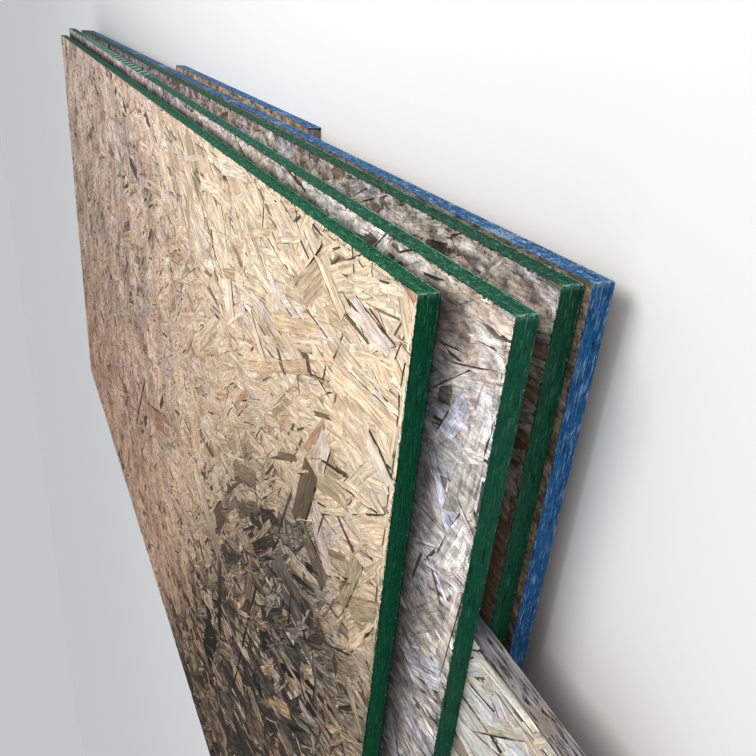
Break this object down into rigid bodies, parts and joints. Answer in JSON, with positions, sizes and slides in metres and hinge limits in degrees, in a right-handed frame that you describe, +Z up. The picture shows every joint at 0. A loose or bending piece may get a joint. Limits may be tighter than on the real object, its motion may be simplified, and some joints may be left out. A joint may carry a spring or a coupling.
{
  "type": "stack of osb panels",
  "caption": "Loose stack of oriented strand board sheets lying flat, with painted edges, a narrower ripped sheet inside and a short offcut under it.",
  "frame": {"origin": "on the floor, under the middle of the whole stack's outline", "axes": "+X along the sheets' length, towards the far ends; +Y across the sheets, away from the long painted edges that the picture shows; +Z up, out of the top sheet's face"},
  "size_m": [2.68, 1.2614, 0.1098],
  "materials": {
    "osb_green_edge": "weathered oriented strand board with green edge paint",
    "osb_blue_edge": "weathered oriented strand board with blue edge paint",
    "osb_weathered_edge": "weathered oriented strand board with bare grey edges"
  },
  "bodies": {
    "root": {"top_green_sheet": "osb_green_edge", "second_green_sheet": "osb_green_edge", "ripped_sheet": "osb_weathered_edge", "lower_green_sheet": "osb_green_edge", "blue_sheet": "osb_blue_edge", "blue_offcut": "osb_blue_edge"}
  },
  "joints": []
}
